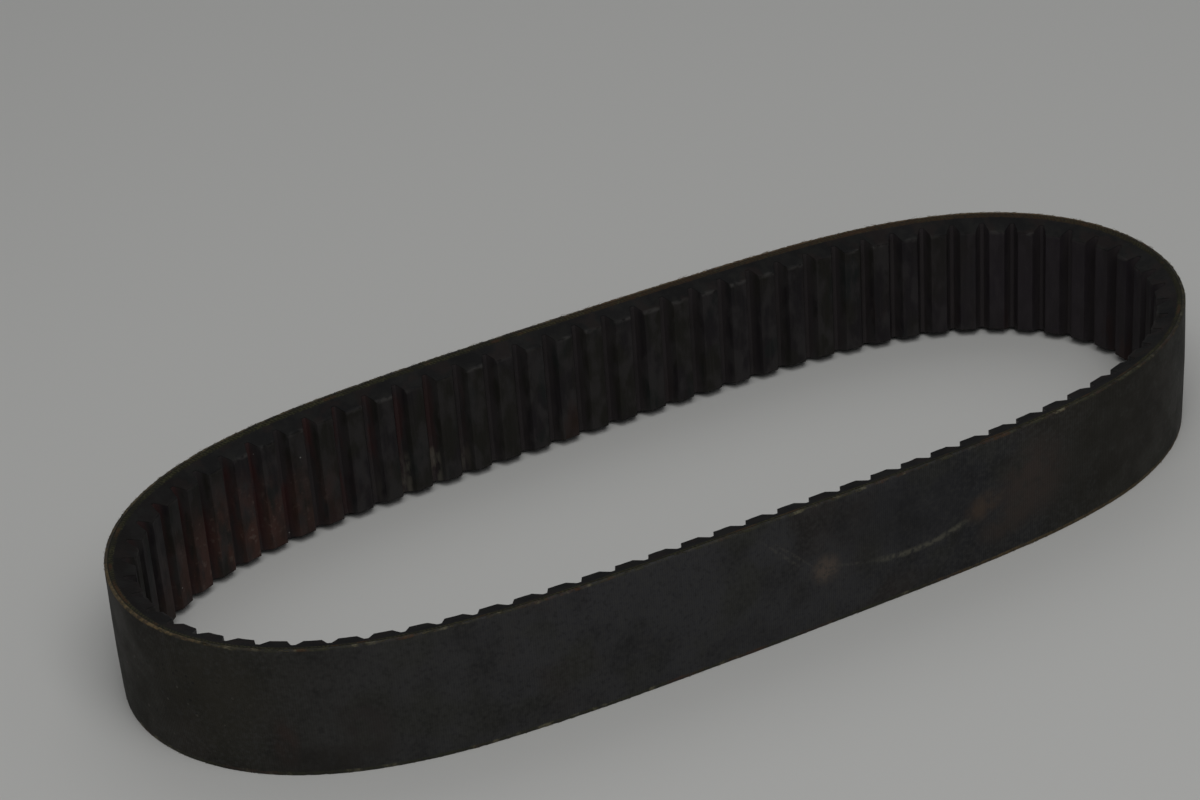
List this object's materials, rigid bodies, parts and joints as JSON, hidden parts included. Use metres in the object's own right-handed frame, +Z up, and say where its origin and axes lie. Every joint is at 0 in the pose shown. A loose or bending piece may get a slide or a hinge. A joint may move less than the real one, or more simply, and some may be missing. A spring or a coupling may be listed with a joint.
{
  "type": "cogged variable-speed v-belt",
  "caption": "Wide variable-speed V-belt, an endless rubber loop with cogs inside, bevelled side walls and a fabric back, standing on edge as a long oval that flexes.",
  "frame": {"origin": "middle of the loop, on the plane that the belt stands on", "axes": "+Z up across the belt's width, +X along the two long runs, -Y towards the front run's back"},
  "size_m": [0.426, 0.1664, 0.0508],
  "materials": {
    "back_fabric": "matt rubbered fabric with a fine weave, worn",
    "cord_layer": "matt cut cord in rubber",
    "cog_rubber": "satin dark rubber, dusty in the notches"
  },
  "bodies": {
    "link_01": {"back_cover_01": "back_fabric", "tensile_cord_01": "cord_layer", "cog_body_01": "cog_rubber"},
    "link_02": {"back_cover_02": "back_fabric", "tensile_cord_02": "cord_layer", "cog_body_02": "cog_rubber"},
    "link_03": {"back_cover_03": "back_fabric", "tensile_cord_03": "cord_layer", "cog_body_03": "cog_rubber"},
    "link_04": {"back_cover_04": "back_fabric", "tensile_cord_04": "cord_layer", "cog_body_04": "cog_rubber"},
    "link_05": {"back_cover_05": "back_fabric", "tensile_cord_05": "cord_layer", "cog_body_05": "cog_rubber"},
    "link_06": {"back_cover_06": "back_fabric", "tensile_cord_06": "cord_layer", "cog_body_06": "cog_rubber"},
    "link_07": {"back_cover_07": "back_fabric", "tensile_cord_07": "cord_layer", "cog_body_07": "cog_rubber"},
    "link_08": {"back_cover_08": "back_fabric", "tensile_cord_08": "cord_layer", "cog_body_08": "cog_rubber"},
    "link_09": {"back_cover_09": "back_fabric", "tensile_cord_09": "cord_layer", "cog_body_09": "cog_rubber"},
    "link_10": {"back_cover_10": "back_fabric", "tensile_cord_10": "cord_layer", "cog_body_10": "cog_rubber"},
    "link_11": {"back_cover_11": "back_fabric", "tensile_cord_11": "cord_layer", "cog_body_11": "cog_rubber"},
    "link_12": {"back_cover_12": "back_fabric", "tensile_cord_12": "cord_layer", "cog_body_12": "cog_rubber"},
    "link_13": {"back_cover_13": "back_fabric", "tensile_cord_13": "cord_layer", "cog_body_13": "cog_rubber"}
  },
  "joints": [
    {"name": "flex_01_13", "type": "hinge", "parent": "link_01", "child": "link_13", "pos_m": [-0.0019, -0.08105, 0.0254], "axis": [0, 0, -1], "range_deg": [-8, 15], "stiffness_Nm_per_rad": 0.15},
    {"name": "flex_01_02", "type": "hinge", "parent": "link_01", "child": "link_02", "pos_m": [0.06154, -0.08048, 0.0254], "axis": [0, 0, 1], "range_deg": [-5.8, 10.8], "stiffness_Nm_per_rad": 0.15},
    {"name": "flex_02_03", "type": "hinge", "parent": "link_02", "child": "link_03", "pos_m": [0.1823, -0.05403, 0.0254], "axis": [0, 0, 1], "range_deg": [-10.8, 5.8], "stiffness_Nm_per_rad": 0.15},
    {"name": "flex_03_04", "type": "hinge", "parent": "link_03", "child": "link_04", "pos_m": [0.21082, -0.00184, 0.0254], "axis": [0, 0, 1], "range_deg": [-15.1, 8.1], "stiffness_Nm_per_rad": 0.15},
    {"name": "flex_04_05", "type": "hinge", "parent": "link_04", "child": "link_05", "pos_m": [0.18521, 0.05172, 0.0254], "axis": [0, 0, 1], "range_deg": [-10.8, 5.8], "stiffness_Nm_per_rad": 0.15},
    {"name": "flex_05_06", "type": "hinge", "parent": "link_05", "child": "link_06", "pos_m": [0.06534, 0.08038, 0.0254], "axis": [0, 0, 1], "range_deg": [-5.8, 10.8], "stiffness_Nm_per_rad": 0.15},
    {"name": "flex_06_07", "type": "hinge", "parent": "link_06", "child": "link_07", "pos_m": [0.0019, 0.08105, 0.0254], "axis": [0, 0, 1], "range_deg": [-8.1, 15.1], "stiffness_Nm_per_rad": 0.15},
    {"name": "flex_07_08", "type": "hinge", "parent": "link_07", "child": "link_08", "pos_m": [-0.06154, 0.08048, 0.0254], "axis": [0, 0, 1], "range_deg": [-5.8, 10.8], "stiffness_Nm_per_rad": 0.15},
    {"name": "flex_13_12", "type": "hinge", "parent": "link_13", "child": "link_12", "pos_m": [-0.06534, -0.08038, 0.0254], "axis": [0, 0, -1], "range_deg": [-5.8, 10.8], "stiffness_Nm_per_rad": 0.15},
    {"name": "flex_12_11", "type": "hinge", "parent": "link_12", "child": "link_11", "pos_m": [-0.18521, -0.05172, 0.0254], "axis": [0, 0, -1], "range_deg": [-10.8, 5.8], "stiffness_Nm_per_rad": 0.15},
    {"name": "flex_11_10", "type": "hinge", "parent": "link_11", "child": "link_10", "pos_m": [-0.21082, 0.00184, 0.0254], "axis": [0, 0, -1], "range_deg": [-15.1, 8.1], "stiffness_Nm_per_rad": 0.15},
    {"name": "flex_10_09", "type": "hinge", "parent": "link_10", "child": "link_09", "pos_m": [-0.1823, 0.05403, 0.0254], "axis": [0, 0, -1], "range_deg": [-10.8, 5.8], "stiffness_Nm_per_rad": 0.15}
  ],
  "couplings": [
    {"joint": "flex_01_02", "follows": "flex_01_13", "ratio": 0.70711},
    {"joint": "flex_02_03", "follows": "flex_01_13", "ratio": -0.70711},
    {"joint": "flex_03_04", "follows": "flex_01_13", "ratio": -1},
    {"joint": "flex_04_05", "follows": "flex_01_13", "ratio": -0.70711},
    {"joint": "flex_05_06", "follows": "flex_01_13", "ratio": 0.70711},
    {"joint": "flex_06_07", "follows": "flex_01_13", "ratio": 1},
    {"joint": "flex_07_08", "follows": "flex_01_13", "ratio": 0.70711},
    {"joint": "flex_13_12", "follows": "flex_01_13", "ratio": 0.70711},
    {"joint": "flex_12_11", "follows": "flex_01_13", "ratio": -0.70711},
    {"joint": "flex_11_10", "follows": "flex_01_13", "ratio": -1},
    {"joint": "flex_10_09", "follows": "flex_01_13", "ratio": -0.70711}
  ]
}
